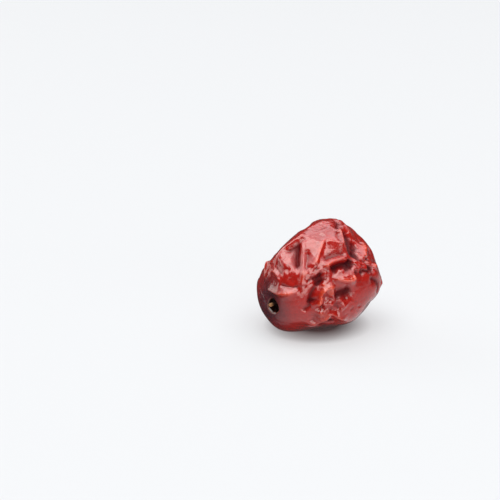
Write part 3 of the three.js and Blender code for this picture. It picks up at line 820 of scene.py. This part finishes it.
# Painted shade: the inside of the hole is coloured near black for the shade that lies in it.
in_hole = span(tree, cavity_value, rim - 0.05, CAVITY_RADIUS + 0.15)
coloured = mix(tree, in_hole, rimmed, HOLE_SHADE)
tree.links.new(coloured, surface.inputs["Base Color"])
worn = span(tree, marks.outputs["Tone"], 0.0, 1.0, 0.11, 0.21)
dusty = span(tree, fold_value, -0.35, -1.2, 0.0, 0.35)
tree.links.new(math_node(tree, "ADD", worn, dusty), surface.inputs["Roughness"])
surface.inputs["Subsurface Weight"].default_value = 0.3
surface.inputs["Subsurface Radius"].default_value = (1.0, 0.15, 0.1)
surface.inputs["Subsurface Scale"].default_value = 0.0025
dry = span(tree, fold_value, -1.0, -0.2, 0.12, 0.58)
tree.links.new(dry, surface.inputs["Specular IOR Level"])
clean = span(tree, fold_value, -0.9, -0.2, 0.0, 0.62)
waxed = math_node(tree, "MULTIPLY", span(tree, cavity_value, 3.0, 9.0), clean)
tree.links.new(waxed, surface.inputs["Coat Weight"])
surface.inputs["Coat Roughness"].default_value = 0.07
relief = add(tree, "Group", {"node_tree": crinkle}, Scale=600.0)
bump = add(tree, "Bump", Strength=0.3, Distance=0.00014, Height=relief.outputs["Height"])
coarse = add(tree, "Group", {"node_tree": crinkle}, Scale=300.0, Stretch=(0.4, 1.0, 1.0))
coarse_bump = add(
    tree, "Bump", Strength=0.4, Distance=0.0003, Height=coarse.outputs["Height"], Normal=bump.outputs[0]
)
tree.links.new(coarse_bump.outputs[0], surface.inputs["Normal"])
fruit.data.materials.append(skin_material)
print(skin_material.name, "has", len(tree.nodes), "nodes")

# %% [markdown]
# ## Stalk
# Dry wood has no shine. Its colour runs in streaks along the fibres. The foot is painted dark as the shade in
# the hole, and only the torn end keeps the wood's pale colour.

# %% Stalk material
SHADED_TO = 1.3  # from the foot, along the stub
UNSHADED_FROM = 2.3

stalk_material = bpy.data.materials.new("stalk_wood")
stalk_material.use_nodes = True
tree = stalk_material.node_tree
surface = tree.nodes["Principled BSDF"]
marks = add(tree, "Group", {"node_tree": mottle}, Scale=900.0, Stretch=(0.25, 1.0, 1.0))
wood = mix(tree, marks.outputs["Tone"], (0.36, 0.14, 0.05, 1), (0.80, 0.44, 0.20, 1))
aged = mix(tree, math_node(tree, "MULTIPLY", marks.outputs["Freckles"], 0.5), wood, (0.12, 0.04, 0.02, 1))
from_foot = add(tree, "Attribute", {"attribute_name": "from foot"}).outputs["Fac"]
# Painted shade: the foot is coloured near black, fading into the wood's own colour towards the torn end.
shaded_foot = mix(tree, span(tree, from_foot, SHADED_TO, UNSHADED_FROM), (0.035, 0.012, 0.007, 1), aged)
tree.links.new(shaded_foot, surface.inputs["Base Color"])
surface.inputs["Roughness"].default_value = 0.75
relief = add(tree, "Group", {"node_tree": crinkle}, Scale=1800.0, Stretch=(0.2, 1.0, 1.0))
bump = add(tree, "Bump", Strength=0.6, Distance=0.00015, Height=relief.outputs["Height"])
tree.links.new(bump.outputs[0], surface.inputs["Normal"])
stub.data.materials.append(stalk_material)
print(stalk_material.name, "has", len(tree.nodes), "nodes")

# %% [markdown]
# ## Table and light
# The fruit lies on a white table that glows from below, so that its shadow stays pale. The glow fades out
# towards the fruit's middle, which paints a dark contact shadow where it touches. A broad lamp hangs over it,
# with one beside it to the right, a low one to the left and behind, and a wide one in front. The room is dark
# and warm at the fruit's own height, which keeps the red deep wherever the skin mirrors neither a lamp nor
# the table.

# %% Table
GLOW = 0.475
GLOW_FROM = 0.006  # metres from the middle of the fruit, where the glow begins; nearer in, the table is painted dark as a contact shadow
GLOW_FULL = 0.017

bpy.ops.mesh.primitive_plane_add(size=20)
floor = bpy.context.object
floor.name = "table"
floor_material = bpy.data.materials.new("white_table")
floor_material.use_nodes = True
floor_surface = floor_material.node_tree.nodes["Principled BSDF"]
floor_surface.inputs["Base Color"].default_value = (0.262, 0.272, 0.285, 1)
floor_surface.inputs["Roughness"].default_value = 0.7
floor_surface.inputs["Specular IOR Level"].default_value = 0.0
floor_tree = floor_material.node_tree
spot = add(floor_tree, "TexCoord").outputs["Object"]
from_middle = vector_node(floor_tree, "LENGTH", spot, output="Value")
# Painted shadow: the glow fades to nothing towards the fruit's middle, leaving a dark contact shadow where it
# touches.
glow = span(floor_tree, from_middle, GLOW_FROM, GLOW_FULL, 0.0, GLOW)
floor_tree.links.new(glow, floor_surface.inputs["Emission Strength"])
floor_surface.inputs["Emission Color"].default_value = (0.98, 0.99, 1.0, 1)
floor.data.materials.append(floor_material)
floor.visible_glossy = False
print("table glows from", GLOW_FROM, "to", GLOW_FULL, "m from the middle")

# %% Directions of the view
VIEW_TURN_DEG = 45.7
VIEW_RISE_DEG = 20

turn = math.radians(VIEW_TURN_DEG)
rise = math.radians(VIEW_RISE_DEG)
back = Vector((-math.sin(turn) * math.cos(rise), -math.cos(turn) * math.cos(rise), math.sin(rise)))
right = Vector((math.cos(turn), -math.sin(turn), 0))
up = back.cross(right)
away = Vector((math.sin(turn), math.cos(turn), 0))
centre = Vector((CENTRE_FORWARD, CENTRE_ASIDE, CENTRE_HEIGHT - 0.15)) * MM

# %% Room light
# Each stop is: share of the way from straight down to straight up, and the colour of the room there.
ROOM_STOPS = [
    [0.0, (0.74, 0.74, 0.76)],
    [0.18, (0.84, 0.84, 0.86)],
    [0.33, (0.54, 0.51, 0.52)],
    [0.45, (0.16, 0.07, 0.065)],
    [0.50, (0.13, 0.045, 0.04)],
    [0.62, (0.12, 0.055, 0.05)],
    [0.75, (0.09, 0.08, 0.08)],
    [1.0, (0.20, 0.20, 0.21)],
]
BACKDROP = 1.9  # brightness of the white wall behind the table
TABLE_SHADE = 0.05  # brightness of the table under the far side of the fruit

world = bpy.data.worlds.new("room")
bpy.context.scene.world = world
world.use_nodes = True
tree = world.node_tree
direction = add(tree, "TexCoord").outputs["Generated"]
height = add(tree, "SeparateXYZ", i0=direction).outputs["Z"]
tones = [(place, (*tone, 1)) for place, tone in ROOM_STOPS]
all_round = ramp(tree, span(tree, height, -1.0, 1.0), tones)
facing = vector_node(tree, "DOT_PRODUCT", direction, tuple(away), "Value")
rightward = vector_node(tree, "DOT_PRODUCT", direction, tuple(right), "Value")
shaded = math_node(tree, "MULTIPLY", span(tree, facing, -0.1, 0.25), span(tree, rightward, 0.38, 0.12))
under = math_node(tree, "MULTIPLY", shaded, span(tree, height, 0.0, -0.2))
room = mix(tree, under, all_round, (TABLE_SHADE, TABLE_SHADE, TABLE_SHADE, 1))
behind = math_node(tree, "MULTIPLY", span(tree, facing, 0.0, 0.5), span(tree, height, 0.35, 0.6))
white = mix(tree, behind, room, (BACKDROP, BACKDROP, BACKDROP * 1.03, 1))
tree.links.new(white, tree.nodes["Background"].inputs["Color"])


# %% Lamps
LAMP_DISTANCE = 2.0
LAMP_COLOUR = (1.0, 0.985, 0.945)


def lamp(name, sideways, outward, height, wide, deep, radiance):
    """A flat lamp in the direction given by its shares right, away from the camera and up."""
    light = bpy.data.lights.new(name, "AREA")
    light.shape = "RECTANGLE"
    light.size = wide * LAMP_DISTANCE
    light.size_y = deep * LAMP_DISTANCE
    light.color = LAMP_COLOUR
    light.energy = radiance * math.pi * light.size * light.size_y
    holder = bpy.data.objects.new(name, light)
    bpy.context.scene.collection.objects.link(holder)
    towards = (right * sideways + away * outward + Vector((0, 0, height))).normalized()
    holder.location = centre + towards * LAMP_DISTANCE
    across = right - towards * right.dot(towards)
    across.normalize()
    along_lamp = towards.cross(across)
    turned = Matrix((across, along_lamp, towards)).transposed().to_4x4()
    holder.matrix_world = Matrix.Translation(holder.location) @ turned
    print(name, "at", [round(value, 2) for value in holder.location], "m,", round(light.energy), "W")


lamp("overhead_lamp", -0.26, -0.10, 1.0, 0.76, 0.95, 3.7)
lamp("right_lamp", 0.46, -0.25, 1.0, 0.6, 0.7, 3.9)
lamp("left_lamp", -0.86, 0.46, 0.26, 1.1, 0.5, 1.8)
lamp("front_fill", 0.50, -0.85, 0.10, 1.4, 0.6, 3.1)
bpy.context.scene.view_settings.view_transform = "Standard"

# %% [markdown]
# ## Camera
# The camera looks at the front of the fruit from the stem end's side, a little from above. Its long lens
# keeps the outline free of distortion.

# %% Camera
VIEW_DISTANCE = 0.640
PICTURE_STEP = 0.0003084  # metres on the fruit for one step of the 500-step picture
PICTURE_WIDTH = 500
SHIFT_RIGHT = 68  # the fruit lies this many steps right of the picture's middle
SHIFT_DOWN = 27

camera_data = bpy.data.cameras.new("camera")
camera = bpy.data.objects.new("camera", camera_data)
bpy.context.scene.collection.objects.link(camera)
camera.location = centre + back * VIEW_DISTANCE
aim = centre - right * (SHIFT_RIGHT * PICTURE_STEP) + up * (SHIFT_DOWN * PICTURE_STEP)
camera.rotation_mode = "QUATERNION"
camera.rotation_quaternion = (aim - camera.location).to_track_quat("-Z", "Y")
camera_data.sensor_width = 36
camera_data.lens = camera_data.sensor_width * VIEW_DISTANCE / (PICTURE_WIDTH * PICTURE_STEP)
camera_data.dof.use_dof = False
bpy.context.scene.camera = camera
print("lens", round(camera_data.lens, 1), "mm at", VIEW_DISTANCE, "m")
